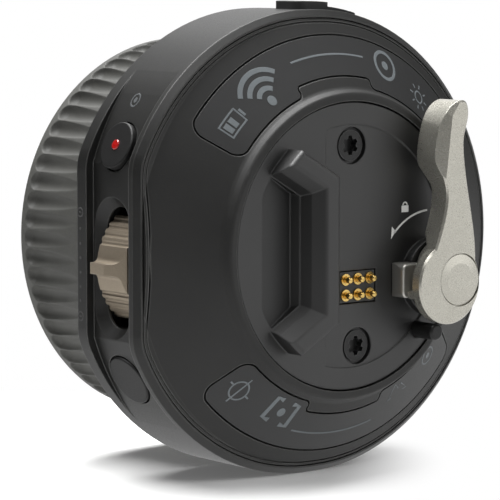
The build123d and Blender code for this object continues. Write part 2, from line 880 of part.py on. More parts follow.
def contact_block():
    """The insulator, held by a flange behind the plate."""
    center = Pos(contact_x, contact_height)
    block = slab(center * Rectangle(contact_block_length, contact_block_width), contact_rear,
                 contact_rear + contact_block_depth)
    length = contact_block_length + 2 * seam + 2 * contact_flange
    width = contact_block_width + 2 * seam + 2 * contact_flange
    flange_front = plate_thickness + contact_flange_thickness
    block += slab(center * Rectangle(length, width), plate_thickness, flange_front)
    for x, z in contact_places:
        block -= post(x, z, barrel_radius, 0, drum_front)
    return block


def contact_barrels():
    """Six sleeves with a lip at the mouth that keeps each plunger in."""
    mouth = plunger_radius + running_gap
    end = contact_rear + contact_block_depth + barrel_tail
    points = [
        (mouth, barrel_sink),
        (barrel_radius, barrel_sink),
        (barrel_radius, end),
        (barrel_bore_radius, end),
        (barrel_bore_radius, barrel_sink + barrel_lip),
        (mouth, barrel_sink + barrel_lip),
    ]
    return group(Pos(x, 0, z) * turned(points) for x, z in contact_places)


def contact_plungers():
    """Six plungers, each with a collar behind its barrel's lip."""
    collar_rear = barrel_sink + barrel_lip + slip_gap
    solids = []
    for x, z in contact_places:
        tip = post(x, z, plunger_radius, -plunger_proud, collar_rear)
        tip = fillet(tip.faces().sort_by(Axis.Y)[0].edges(), plunger_tip_round)
        collar = post(x, z, plunger_collar_radius, collar_rear, collar_rear + plunger_collar_length)
        solids.append(tip + collar)
    return group(solids)


# Lock lever, its pivot and the latch
def lever_height(share):
    """Height of a place along the lever, as a share of its length from the pivot."""
    return pivot_height + share * lever_length


def lever_x(share):
    """X of a place across the lever, as a share of the paddle's width from the pivot."""
    return pivot_x + share * lever_paddle_width


def lever_blank():
    """The lever's hub and blade with the stepped underside and the paddle's bevel."""
    points = [(lever_x(across), lever_height(along)) for across, along in blade_shares]
    blade = make_face([Spline(*points), Line(points[-1], points[0])])
    hub = Pos(pivot_x - lever_hub_shift, pivot_height - lever_hub_drop) * Circle(lever_hub_radius)
    blank = slab(hub + blade, lever_top, lever_paddle_underside)
    low = pivot_height - lever_length
    high = lever_height(2)
    side = [
        (lever_top, low),
        (lever_top, high),
        (lever_paddle_underside, high),
        (lever_paddle_underside, lever_height(underside_paddle_share)),
        (lever_arm_underside, lever_height(underside_neck_share)),
        (lever_arm_underside, lever_height(underside_arm_share)),
        (lever_hub_underside, lever_height(underside_hub_share)),
        (lever_hub_underside, low),
    ]
    face = Plane.YZ * make_face(Polyline(*side, close=True))
    blank &= extrude(face, amount=lever_length * 2)
    blank = chamfer(blank.faces().sort_by(Axis.Y)[0].edges(), lever_edge)
    for low, high in zip(bevel_shares, bevel_shares[1:]):
        blank -= bevel_cutter(low, high)
    return blank


def bevel_cutter(low, high):
    """The slanting cut outside one straight stretch of the paddle's bevel."""
    foot = Vector(lever_x(low[0]), lever_top, lever_height(low[1]))
    tip = Vector(lever_x(high[0]), lever_top, lever_height(high[1]))
    reach = lever_paddle_width
    along = (tip - foot).normalized()
    plane = Plane(origin=foot - along * reach, x_dir=(0, -1, 0), z_dir=along)
    depth = reach * lever_bevel_drop / lever_bevel_width
    points = [(0, 0), (-depth, -reach), (overrun, -reach), (overrun, 0)]
    return extrude(plane * make_face(Polyline(*points, close=True)), amount=lever_length)


def lock_lever():
    """The lever with its cam, its stop lug and the bores for the pivot and the cap."""
    lever = lever_blank()
    cam = Pos(pivot_x, pivot_height + cam_offset) * Circle(cam_radius)
    lever += slab(cam, lever_hub_underside - slip_gap, -boss_height - moving_gap)
    ring = Circle(lug_outer_radius) - Circle(lug_inner_radius)
    lug = ring & sector(lug_angle - lug_half_angle, lug_angle + lug_half_angle, lever_length)
    lug = Pos(pivot_x, pivot_height) * lug
    lever += slab(lug, lever_hub_underside - slip_gap, lever_hub_underside + lug_height)
    lever -= post(pivot_x, pivot_height, pivot_radius + running_gap, lever_top - overrun, plate_thickness)
    head_pocket = pivot_head_radius + seam
    lever -= post(pivot_x, pivot_height, head_pocket, lever_top - overrun, pivot_head_seat)
    lever -= post(pivot_x, pivot_height, cap_radius + cap_gap, lever_top - overrun, lever_top + cap_thickness)
    return lever


pivot_head_seat = lever_top + cap_thickness + slip_gap + pivot_head_height + slip_gap


def lever_cap():
    """The cap over the pivot, with a flat crown and a sloping rim."""
    points = [
        (0, lever_top),
        (cap_crown_radius, lever_top),
        (cap_radius, lever_top + cap_rim_drop),
        (cap_radius, lever_top + cap_thickness),
        (0, lever_top + cap_thickness),
    ]
    return Pos(pivot_x, 0, pivot_height) * turned(points)


def lever_pivot():
    """The shoulder pin, riveted behind the plate, with a head inside the lever."""
    head_rear = lever_top + cap_thickness + slip_gap
    pin = post(pivot_x, pivot_height, pivot_head_radius, head_rear, head_rear + pivot_head_height)
    foot_front = plate_thickness + pivot_foot_height
    pin += post(pivot_x, pivot_height, pivot_radius, head_rear, foot_front)
    return pin + post(pivot_x, pivot_height, pivot_foot_radius, plate_thickness, foot_front)


def lever_spring():
    """A torsion spring's coil round the pivot, inside the boss."""
    radius = pivot_radius + moving_gap + spring_wire / 2
    rear = spring_wire - boss_height
    height = plate_thickness - overrun - spring_wire - rear
    coil = Helix(pitch=spring_wire + slip_gap, height=height, radius=radius)
    start = Plane(origin=coil @ 0, z_dir=coil % 0)
    wire = sweep(start * Circle(spring_wire / 2), path=coil)
    return Pos(pivot_x, rear, pivot_height) * Rot(-90, 0, 0) * wire


def latch_block():
    """The moving jaw that the lever's cam pushes: an undercut head over a root that runs in the plate."""
    sketch = latch_strip(latch_face, latch_back, latch_width)
    sketch = fillet(sketch.vertices().sort_by(Axis.X)[:2], latch_corner)
    head_front = floor_step - slip_gap
    block = slab(sketch, -latch_height, head_front)
    block = fillet(block.faces().sort_by(Axis.Y)[0].edges(), latch_edge)
    undercut = [
        (latch_face - overrun, latch_lip - latch_height),
        (latch_face, latch_lip - latch_height),
        (latch_foot, head_front),
        (latch_face - overrun, head_front),
    ]
    cutter = extrude(make_face(Polyline(*undercut, close=True)), amount=latch_width, both=True)
    block -= Pos(0, 0, pivot_height) * cutter
    return block + slab(latch_strip(latch_root_left, latch_back, latch_root_width), 0, latch_root)


# Flank controls
def button(height, radius, proud):
    """A push button with a flange behind the housing's skin."""
    plane = button_plane(height)
    cap = disc_on(plane, radius, flange_back, proud)
    top = cap.faces().sort_by_distance(plane.origin + plane.z_dir * drum_radius)[0]
    cap = fillet(top.edges(), button_round)
    return cap + disc_on(plane, radius + button_flange, flange_back, flange_back + button_flange_thickness)


def record_button():
    """The button with a seat for its red jewel."""
    seat = disc_on(button_plane(record_height), jewel_radius, -button_skin, drum_wall)
    return button(*record_place) - seat


def record_jewel():
    """The small red jewel in the record button."""
    plane = button_plane(record_height)
    jewel = disc_on(plane, jewel_radius, -button_skin, record_proud + jewel_proud)
    top = jewel.faces().sort_by_distance(plane.origin + plane.z_dir * drum_radius)[0]
    return fillet(top.edges(), jewel_proud)


def button_switches():
    """Two small switches on the housing's ledges."""
    solids = []
    for height in (record_height, lower_height):
        plane = button_plane(height)
        body = extrude(plane.offset(ledge_top) * Rectangle(switch_side, switch_side), amount=switch_height)
        solids.append(body + disc_on(plane, actuator_radius, ledge_top + switch_height, actuator_top))
    return group(solids)


def thumb_lever():
    """The ribbed rocker with its finger tab, on an axle along Y."""
    middle = 180.0
    pad = sector(middle - thumb_half_angle, middle + thumb_half_angle, thumb_radius * 2)
    face = (Circle(thumb_radius) & pad) + Circle(thumb_hub_radius)
    for angle in thumb_rib_angles:
        for side in (-1, 1):
            x, z = polar(thumb_radius + thumb_rib_radius / 2, middle + side * angle)
            face -= Pos(x, z) * Circle(thumb_rib_radius)
    tip = -thumb_radius - thumb_tab_height
    face += Pos(tip / 2, 0) * Rectangle(-tip, thumb_tab_thickness)
    corner_x = sqrt(thumb_radius ** 2 - thumb_tab_thickness ** 2 / 4)
    roots = face.vertices().sort_by_distance((-corner_x, 0))[:2]
    face = fillet(roots, thumb_tab_fillet)
    rocker = slab(Pos(thumb_x, thumb_height) * face, thumb_rear, thumb_front)
    rocker -= tab_cutter()
    rocker -= post(thumb_x, thumb_height, thumb_axle_radius + running_gap, 0, drum_front)
    return rocker - thumb_magnet()


def tab_cutter():
    """The slope that takes the finger tab down to the rocker's rear edge."""
    tip = thumb_x - thumb_radius - thumb_tab_height
    tab_rear = thumb_front - (thumb_front - thumb_rear) * thumb_tab_front_share
    points = [
        (tip - overrun, thumb_rear - overrun),
        (thumb_x - thumb_radius + thumb_tab_sink, thumb_rear - overrun),
        (thumb_x - thumb_radius + thumb_tab_sink, thumb_rear),
        (tip, tab_rear),
        (tip - overrun, tab_rear),
    ]
    return extrude(make_face(Polyline(*points, close=True)), amount=thumb_radius * 2, both=True)


def thumb_magnet():
    """A small magnet in the rocker's hub, facing the main board's edge."""
    face_x = thumb_x + thumb_hub_radius - thumb_magnet_length - slip_gap
    station = (thumb_rear + thumb_front) / 2
    plane = Plane(origin=(face_x, station, thumb_height), x_dir=(0, 1, 0), z_dir=(1, 0, 0))
    return extrude(plane * Circle(thumb_magnet_radius), amount=thumb_magnet_length)


def thumb_axle():
    """The axle, pressed into the housing's boss."""
    rear = thumb_rear - slip_gap - thumb_clip_thickness - slip_gap
    return post(thumb_x, thumb_height, thumb_axle_radius, rear, web_rear)


def thumb_clip():
    """The clip that keeps the rocker on its axle."""
    front = thumb_rear - slip_gap
    ring = Circle(thumb_clip_radius) - Circle(thumb_axle_radius)
    return slab(Pos(thumb_x, thumb_height) * ring, front - thumb_clip_thickness, front)


# Electronics
def main_board():
    """The main board with a tongue for the charging port."""
    face = Circle(main_board_radius) & right_of(main_board_left, drum_radius)
    face += Pos(port_x, tongue_reach / 2) * Rectangle(tongue_width, tongue_reach)
    for angle in post_angles:
        face -= Pos(*polar(post_circle, angle)) * Circle(board_screw_radius + slip_gap)
    return slab(face, main_board_rear, main_board_front)


def board_screws():
    """Three screws that hold the main board on its posts."""
    solids = []
    for angle in post_angles:
        x, z = polar(post_circle, angle)
        head = post(x, z, board_screw_head_radius, main_board_rear - board_screw_head_height, main_board_rear)
        shank = post(x, z, board_screw_radius, main_board_rear, main_board_rear + board_screw_length)
        solids.append(head + shank)
    return group(solids)


def battery_pack():
    """The rechargeable pack between the main board and the web."""
    middle = Pos((battery_left + battery_right) / 2, battery_height)
    face = RectangleRounded(battery_right - battery_left, battery_width, battery_round)
    return slab(middle * face, main_board_front, web_rear)


def encoder_board():
    """The small board with the sensor that faces the pinion's magnet."""
    face = Pos(pinion_x, pinion_height) * Rectangle(encoder_board_length, encoder_board_width)
    board = slab(face, encoder_board_front - board_thickness, encoder_board_front)
    sensor = Pos(pinion_x, pinion_height) * Rectangle(sensor_side, sensor_side)
    return board + slab(sensor, encoder_board_front, encoder_board_front + sensor_height)


def charging_port():
    """The receptacle's shell with its inner tongue."""
    plane = Plane(origin=(port_x, port_station, port_top - port_depth), x_dir=(1, 0, 0), z_dir=(0, 0, 1))
    outer = RectangleRounded(port_length, port_width, port_width / 2 - touch_gap)
    inner = RectangleRounded(port_length - 2 * port_wall, port_width - 2 * port_wall,
                             port_width / 2 - port_wall - touch_gap)
    port = extrude(plane * outer, amount=port_depth)
    port -= extrude(plane.offset(port_wall) * inner, amount=port_depth)
    tongue = Rectangle(port_length - port_width, port_tongue_thickness)
    return port + extrude(plane * tongue, amount=port_depth - port_wall)


def flap_arc(inner, outer, left, right):
    """A curved strip over the drum's top between two radii and between two X places."""
    strip = Pos((left + right) / 2, drum_radius) * Rectangle(right - left, drum_radius)
    return (Circle(outer) - Circle(inner)) & strip


def flap_solid(face):
    """A piece of the rubber cover, with the round corners of the cover's plan."""
    return slab(face, port_station - flap_half_width, port_station + flap_half_width) & flap_prism(0)


def port_cover():
    """The rubber flap with its finger tab and the plug that closes the port."""
    left = flap_x - flap_half_length
    inner = drum_radius - flap_seat + flap_gap
    face = flap_arc(inner, drum_radius + flap_tab_proud, left - overrun, left + flap_tab_length)
    face += flap_arc(inner, drum_radius + flap_proud, left, flap_hinge_x - flap_gap)
    length = port_length + 2 * window_clearance - 2 * flap_plug_margin
    width = port_width + 2 * window_clearance - 2 * flap_plug_margin
    plane = Plane(origin=(port_x, port_station, port_top + flap_gap), x_dir=(1, 0, 0), z_dir=(0, 0, 1))
    return flap_solid(face) + extrude(plane * Rectangle(length, width), amount=port_inset)


def port_anchor():
    """The fixed end of the rubber cover, beside the flap's hinge line."""
    left = flap_hinge_x + flap_gap
    right = flap_x + flap_half_length + overrun
    return flap_solid(flap_arc(drum_radius - flap_seat, drum_radius + flap_proud, left, right))


# Focus wheel
def rubber_grip():
    """The fluted tyre: the flutes are deep at the front and fade into a smooth band at the rear."""
    width = wheel_front - wheel_rear
    points = [
        (grip_bore_radius, wheel_rear),
        (grip_root_radius, wheel_rear),
        (grip_root_radius, wheel_rear + grip_band_share * width),
        (grip_radius, wheel_rear + grip_crest_share * width),
        (grip_radius, wheel_front - grip_round),
        (grip_radius - grip_round, wheel_front),
        (grip_lip_radius, wheel_front),
        (grip_lip_radius, core_rim_front),
        (grip_bore_radius, core_rim_front),
    ]
    grip = turned(points)
    center = flute_floor_radius + flute_radius
    flute = post(center, 0, flute_radius, wheel_rear - overrun, flute_end - flute_radius)
    flute += Pos(center, flute_end - flute_radius, 0) * Sphere(flute_radius)
    cutters = [Rot(0, index * 360 / flute_count, 0) * flute for index in range(flute_count)]
    return grip - cutters


def wheel_core():
    """The wheel's body: rim, front plate and hub with two bearing seats."""
    first, second = bearing_stations
    rim_rear = wheel_rear + core_rim_inset
    points = [
        (core_rim_radius, rim_rear),
        (core_outer_radius, rim_rear),
        (core_outer_radius, core_rim_front),
        (core_rim_radius, core_rim_front),
        (core_rim_radius, core_plate_front),
        (bearing_outer_radius, core_plate_front),
        (bearing_outer_radius, second),
        (core_shoulder_radius, second),
        (core_shoulder_radius, first + bearing_width),
        (bearing_outer_radius, first + bearing_width),
        (bearing_outer_radius, core_hub_rear),
        (core_hub_radius, core_hub_rear),
        (core_hub_radius, core_plate_rear),
        (core_rim_radius, core_plate_rear),
    ]
    return turned(points)


def tooth_half_width(radius, pitch_radius, share, outward):
    """Half the width of a straight-sided tooth or tooth space at a radius."""
    pitch_half = pi * gear_module / 4 + share * gear_backlash / 2
    return pitch_half - outward * (radius - pitch_radius) * tooth_tip_share


def tooth_face(inner, outer, pitch_radius, share, outward, angle):
    """A straight-sided tooth or tooth space between two radii."""
    low = tooth_half_width(inner, pitch_radius, share, outward)
    high = tooth_half_width(outer, pitch_radius, share, outward)
    points = [(inner, -low), (outer, -high), (outer, high), (inner, low)]
    return Rot(0, 0, angle) * make_face(Polyline(*points, close=True))


def ring_gear():
    """The internal gear pressed into the wheel's rim."""
    tip = ring_pitch_radius - gear_module * tooth_addendum_share
    root = ring_pitch_radius + gear_module * tooth_dedendum_share
    ring = tube(core_rim_radius, tip, gear_rear, gear_rear + gear_width)
    spaces = []
    for index in range(ring_teeth):
        angle = index * 360 / ring_teeth
        space = tooth_face(tip - gear_module, root, ring_pitch_radius, 1, 1, angle)
        spaces.append(slab(space, gear_rear - overrun, gear_rear + gear_width + overrun))
    return ring - spaces


def encoder_pinion():
    """The pinion and its shaft through the web, ending in a cup for the magnet."""
    tip = pinion_pitch_radius + gear_module * tooth_addendum_share
    root = pinion_pitch_radius - gear_module * tooth_dedendum_share
    face = Circle(root)
    for index in range(pinion_teeth):
        angle = pinion_angle + index * 360 / pinion_teeth
        face += tooth_face(root - gear_module / 2, tip, pinion_pitch_radius, -1, 1, angle)
    place = Pos(pinion_x, pinion_height)
    pinion = slab(place * face, gear_rear, gear_rear + gear_width)
    cup_front = magnet_cup_rear + magnet_cup_length
    pinion += post(pinion_x, pinion_height, pinion_shaft_radius, magnet_cup_rear + magnet_length, gear_rear)
    pinion += post(pinion_x, pinion_height, magnet_cup_radius, magnet_cup_rear, cup_front)
    return pinion - encoder_magnet()


def encoder_magnet():
    """The magnet in the cup on the pinion's shaft."""
    return post(pinion_x, pinion_height, magnet_radius, magnet_cup_rear, magnet_cup_rear + magnet_length)


def marking_disc():
    """The marking ring on the wheel's front."""
    return tube(disc_outer_radius, disc_inner_radius, core_plate_front, core_plate_front + disc_thickness)


# Stem and bearings
def hub_stem():
    """The fixed tube that carries the wheel."""
    flange_front = drum_front + stem_flange_thickness
    points = [
        (stem_bore_radius, drum_front),
        (stem_flange_radius, drum_front),
        (stem_flange_radius, flange_front),
        (stem_shoulder_radius, flange_front),
        (stem_shoulder_radius, bearing_stations[0]),
        (stem_radius, bearing_stations[0]),
        (stem_radius, front_cap_rear),
        (stem_bore_radius, front_cap_rear),
    ]
    stem = turned(points)
    for index in range(stem_screw_count):
        x, z = polar(stem_screw_circle, index * 360 / stem_screw_count)
        stem -= post(x, z, stem_screw_radius + slip_gap, drum_front - overrun, flange_front + overrun)
        head_rear = flange_front - stem_screw_head_height
        stem -= post(x, z, stem_screw_head_radius + slip_gap, head_rear, flange_front)
    return stem


def stem_screws():
    """Three screws that hold the stem's flange to the web."""
    head_front = drum_front + stem_flange_thickness
    head_rear = head_front - stem_screw_head_height
    solids = []
    for index in range(stem_screw_count):
        x, z = polar(stem_screw_circle, index * 360 / stem_screw_count)
        shank = post(x, z, stem_screw_radius, head_rear - stem_screw_length, head_rear)
        solids.append(shank + post(x, z, stem_screw_head_radius, head_rear, head_front))
    return group(solids)


def races(inner, outer):
    """The two races of one size, each with its ball groove."""
    groove = Rot(90, 0, 0) * Torus(ball_circle, ball_radius + ball_gap)
    solids = []
    for station in bearing_stations:
        ring = tube(outer, inner, station, station + bearing_width)
        solids.append(ring - Pos(0, station + bearing_width / 2, 0) * groove)
    return group(solids)


def bearing_balls():
    """Two rows of balls."""
    solids = []
    for station in bearing_stations:
        for index in range(ball_count):
            x, z = polar(ball_circle, index * 360 / ball_count)
            solids.append(Pos(x, station + bearing_width / 2, z) * Sphere(ball_radius))
    return group(solids)


def bearing_spacer():
    """The sleeve between the two inner races."""
    first, second = bearing_stations
    return tube(stem_radius + race_thickness, stem_radius, first + bearing_width, second)


def stem_nut():
    """The nut that clamps the inner races on the stem."""
    rear = bearing_stations[1] + bearing_width
    return tube(nut_radius, stem_radius, rear, rear + nut_thickness)


# Front of the wheel
def window_face(margin):
    """The display's outline with a margin round it."""
    return RectangleRounded(display_width + 2 * margin, display_height + 2 * margin, window_margin)


def front_cap():
    """The fixed cap in the middle of the wheel, plugged into the stem."""
    front = front_cap_rear + front_cap_thickness
    cap = slab(Circle(front_cap_radius), front_cap_rear, front)
    cap = fillet(cap.faces().sort_by(Axis.Y)[-1].edges(), front_cap_round)
    cap += post(0, 0, stem_bore_radius - touch_gap, front_cap_rear - spigot_length, front_cap_rear)
    cap -= slab(window_face(window_margin), front - window_thickness, front + overrun)
    return cap - slab(window_face(0), front - window_thickness - display_depth, front)


def display_module():
    """The display under its window."""
    front = front_cap_rear + front_cap_thickness - window_thickness
    return slab(window_face(-touch_gap), front - display_depth, front)


def display_window():
    """The clear window over the display."""
    front = front_cap_rear + front_cap_thickness
    return slab(window_face(window_margin - touch_gap), front - window_thickness, front)


nodes = {
    "mid_housing": mid_housing(),
    "rear_cover": rear_cover(),
    "upper_label_plate": label_plate(*label_places[0]),
    "lower_label_plate": label_plate(*label_places[1]),
    "cover_screws": cover_screws(),
    "mount_plate": mount_plate(),
    "plate_screws": plate_screws(),
    "stop_pin": stop_pin(),
    "contact_block": contact_block(),
    "contact_barrels": contact_barrels(),
    "contact_plungers": contact_plungers(),
    "lock_lever": lock_lever(),
    "lever_cap": lever_cap(),
    "lever_pivot": lever_pivot(),
    "lever_spring": lever_spring(),
    "latch_block": latch_block(),
    "record_button": record_button(),
    "record_jewel": record_jewel(),
    "lower_button": button(*lower_place),
    "button_switches": button_switches(),
    "thumb_lever": thumb_lever(),
    "thumb_magnet": thumb_magnet(),
    "thumb_axle": thumb_axle(),
    "thumb_clip": thumb_clip(),
    "main_board": main_board(),
    "board_screws": board_screws(),
    "battery_pack": battery_pack(),
    "encoder_board": encoder_board(),
    "charging_port": charging_port(),
    "port_cover": port_cover(),
    "port_anchor": port_anchor(),
    "rubber_grip": rubber_grip(),
    "wheel_core": wheel_core(),
    "ring_gear": ring_gear(),
    "encoder_pinion": encoder_pinion(),
    "encoder_magnet": encoder_magnet(),
    "marking_disc": marking_disc(),
    "hub_stem": hub_stem(),
    "stem_screws": stem_screws(),
    "bearing_inner_races": races(stem_radius, stem_radius + race_thickness),
    "bearing_outer_races": races(bearing_outer_radius - race_thickness, bearing_outer_radius),
    "bearing_balls": bearing_balls(),
    "bearing_spacer": bearing_spacer(),
    "stem_nut": stem_nut(),
    "front_cap": front_cap(),
    "display_module": display_module(),
    "display_window": display_window(),
}

os.makedirs("parts", exist_ok=True)
for name, solid in nodes.items():
    export_step(solid, f"parts/{name}.step")
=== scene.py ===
import json
import math

import bmesh
import bpy
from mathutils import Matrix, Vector


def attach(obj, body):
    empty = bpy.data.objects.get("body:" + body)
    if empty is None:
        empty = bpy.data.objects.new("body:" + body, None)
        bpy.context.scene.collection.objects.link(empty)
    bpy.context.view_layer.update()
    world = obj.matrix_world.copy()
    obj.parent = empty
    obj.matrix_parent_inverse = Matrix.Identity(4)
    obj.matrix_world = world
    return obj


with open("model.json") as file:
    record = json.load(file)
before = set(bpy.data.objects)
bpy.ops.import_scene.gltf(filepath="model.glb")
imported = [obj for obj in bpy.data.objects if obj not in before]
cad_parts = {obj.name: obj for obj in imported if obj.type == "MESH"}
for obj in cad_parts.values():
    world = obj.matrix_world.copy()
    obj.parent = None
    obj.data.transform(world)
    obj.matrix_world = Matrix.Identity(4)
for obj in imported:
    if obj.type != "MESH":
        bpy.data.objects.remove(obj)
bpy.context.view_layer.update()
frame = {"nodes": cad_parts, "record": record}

MM = 0.001
SIDES = (-1, 1)

# Sizes of the CAD model that the prints and the floor follow, in millimetres (the slope is a ratio)
DRUM_RADIUS = 37.75
DRUM_REAR = 8.1
CONE_RIM_RADIUS = 36.3
CONE_SLOPE = 0.63
FLANK_REACH = 36.6
PLATE_FLOOR = 0.25
PIVOT = (17.5, -6.0)
CHANNEL_CENTER = 5.97
CHANNEL_RADIUS = 43.4
DISC_FRONT = 44.6


# Helpers for objects and shader nodes
def add_object(name, data):
    made = bpy.data.objects.new(name, data)
    bpy.context.collection.objects.link(made)
    return made


def look_at(place, aim):
    """Rotation of a lamp or a camera at a place that points at an aim."""
    return (Vector(aim) - Vector(place)).to_track_quat("-Z", "Y").to_euler()


def new_material(name):
    made = bpy.data.materials.new(name)
    made.use_nodes = True
    return made, made.node_tree, made.node_tree.nodes["Principled BSDF"]


def node(tree, kind, **values):
    made = tree.nodes.new(kind)
    for name, value in values.items():
        setattr(made, name, value)
    return made


def set_inputs(made, values):
    for socket, value in values.items():
        made.inputs[socket].default_value = value


def show_mix(tree, factor, first, second):
    """Sends a mix of two shaders to the material's output."""
    mix = node(tree, "ShaderNodeMixShader")
    for socket, source in enumerate((factor, first, second)):
        tree.links.new(source, mix.inputs[socket])
    tree.links.new(mix.outputs[0], tree.nodes["Material Output"].inputs["Surface"])


def grey(value):
    return (value, value, value)


# Materials
EVEN = (1.0, 1.0, 1.0)
MM_PER_METRE = 1000.0
NOISE_ROUGHNESS = 0.55
FINE_DETAIL = 3.0
CLOUD_DETAIL = 4.0
CLOUD_SCALE = 0.06
CLOUD_SHARE = 0.45
BEVEL_SAMPLES = 6

# Places of the two ends of each ramp
TONE_STOPS = (0.35, 0.65)
ROUGH_STOPS = (0.3, 0.7)
# The edge ramp: where the rubbed edges and their painted highlight fade out
EDGE_WEAR_AND_HIGHLIGHT_STOPS = (0.78, 0.99)

# Sockets of the mix node, by index because their names repeat
MIX_FACTOR = 0
MIX_FLOAT_A, MIX_FLOAT_B, MIX_FLOAT_RESULT = 2, 3, 0
MIX_COLOR_A, MIX_COLOR_B, MIX_COLOR_RESULT = 6, 7, 2


def ramp(tree, source, places, colors):
    """Runs from one colour to another between two places of a value."""
    made = node(tree, "ShaderNodeValToRGB")
    for element, place, color in zip(made.color_ramp.elements, places, colors):
        element.position = place
        element.color = (*color, 1.0)
    tree.links.new(source, made.inputs["Fac"])
    return made.outputs["Color"]


def mm_coordinates(tree, stretch=EVEN):
    """Object coordinates in millimetres, so that texture scales are in cycles per millimetre."""
    coords = node(tree, "ShaderNodeTexCoord")
    scaled = node(tree, "ShaderNodeMapping")
    scaled.inputs["Scale"].default_value = [MM_PER_METRE * value for value in stretch]
    tree.links.new(coords.outputs["Object"], scaled.inputs["Vector"])
    return scaled.outputs["Vector"]


def noise(tree, vector, scale, detail):
    made = node(tree, "ShaderNodeTexNoise")
    set_inputs(made, {"Scale": scale, "Detail": detail, "Roughness": NOISE_ROUGHNESS})
    tree.links.new(vector, made.inputs["Vector"])
    return made.outputs["Fac"]


def tint(tree, mask, base, color):
    """Lays a plain colour over a colour socket where the mask is white."""
    made = node(tree, "ShaderNodeMix", data_type="RGBA")
    tree.links.new(mask, made.inputs[MIX_FACTOR])
    tree.links.new(base, made.inputs[MIX_COLOR_A])
    made.inputs[MIX_COLOR_B].default_value = (*color, 1.0)
    return made.outputs[MIX_COLOR_RESULT]


def add_specks(tree, base, scale, reach, color):
    """Small dots of a colour, scattered by the cells of a Voronoi texture."""
    cells = node(tree, "ShaderNodeTexVoronoi")
    cells.inputs["Scale"].default_value = scale
    tree.links.new(mm_coordinates(tree), cells.inputs["Vector"])
    mask = ramp(tree, cells.outputs["Distance"], (0.0, reach), (grey(1.0), grey(0.0)))
    return tint(tree, mask, base, color)


def add_edge_wear_and_highlight(tree, base, bevel, color, share):
    """Rubbed edges and a painted edge highlight: a colour on the edges, where the bevelled normal
    leaves the surface's own normal.
    """
    flat = node(tree, "ShaderNodeNewGeometry")
    bend = node(tree, "ShaderNodeVectorMath", operation="DOT_PRODUCT")
    tree.links.new(bevel.outputs["Normal"], bend.inputs[0])
    tree.links.new(flat.outputs["Normal"], bend.inputs[1])
    mask = ramp(tree, bend.outputs["Value"], EDGE_WEAR_AND_HIGHLIGHT_STOPS, (grey(share), grey(0.0)))
    return tint(tree, mask, base, color)


def surface(name, dark, light, rough, metallic=0.0, specular=0.5, grain=(6.0, 0.02), strength=0.35,
            stretch=EVEN, edge=0.12, edge_wear_and_highlight=None, speck=None, settings=None):
    """A fine-grained material.

    dark and light are its two tones, and rough is its lowest and highest roughness. grain is the
    scale and the depth of the grain, and strength that of its bump. edge is the radius of its soft
    edges in millimetres. edge_wear_and_highlight is the colour and the share of rubbed edges that
    also carry a painted highlight. speck is the scale, the reach and the colour of specks. settings
    are further values of the shader.
    """
    material, tree, shader = new_material(name)
    set_inputs(shader, {"Metallic": metallic, "Specular IOR Level": specular, **(settings or {})})
    grain_scale, grain_depth = grain
    fine = noise(tree, mm_coordinates(tree, stretch), grain_scale, FINE_DETAIL)
    broad = noise(tree, mm_coordinates(tree), CLOUD_SCALE, CLOUD_DETAIL)
    tones = node(tree, "ShaderNodeMix", data_type="FLOAT")
    tones.inputs[MIX_FACTOR].default_value = CLOUD_SHARE
    tree.links.new(fine, tones.inputs[MIX_FLOAT_A])
    tree.links.new(broad, tones.inputs[MIX_FLOAT_B])
    color = ramp(tree, tones.outputs[MIX_FLOAT_RESULT], TONE_STOPS, (dark, light))
    if speck:
        color = add_specks(tree, color, *speck)
    bevel = node(tree, "ShaderNodeBevel", samples=BEVEL_SAMPLES)
    bevel.inputs["Radius"].default_value = edge * MM
    # Rubbed edges with a painted highlight along them
    if edge_wear_and_highlight:
        color = add_edge_wear_and_highlight(tree, color, bevel, *edge_wear_and_highlight)
    tree.links.new(color, shader.inputs["Base Color"])
    roughness = ramp(tree, fine, ROUGH_STOPS, [grey(value) for value in rough])
    tree.links.new(roughness, shader.inputs["Roughness"])
    bump = node(tree, "ShaderNodeBump")
    set_inputs(bump, {"Strength": strength, "Distance": grain_depth * MM})
    tree.links.new(fine, bump.inputs["Height"])
    tree.links.new(bevel.outputs["Normal"], bump.inputs["Normal"])
    tree.links.new(bump.outputs["Normal"], shader.inputs["Normal"])
    return material


# Edge colours: partly rubbed edges, partly a painted highlight along the edges
BODY_EDGE_WEAR_AND_HIGHLIGHT = ((0.16, 0.16, 0.155), 0.55)
BRIGHT_EDGE_WEAR_AND_HIGHLIGHT = (0.75, 0.74, 0.7)
SHELL = dict(
    dark=(0.007, 0.007, 0.0067), light=(0.014, 0.014, 0.0133), specular=0.42,
    grain=(5.0, 0.03), strength=0.4, edge=0.3, edge_wear_and_highlight=BODY_EDGE_WEAR_AND_HIGHLIGHT,
    speck=(0.9, 0.05, (0.07, 0.07, 0.068)),
)
INK_GRAIN = (5.0, 0.01)
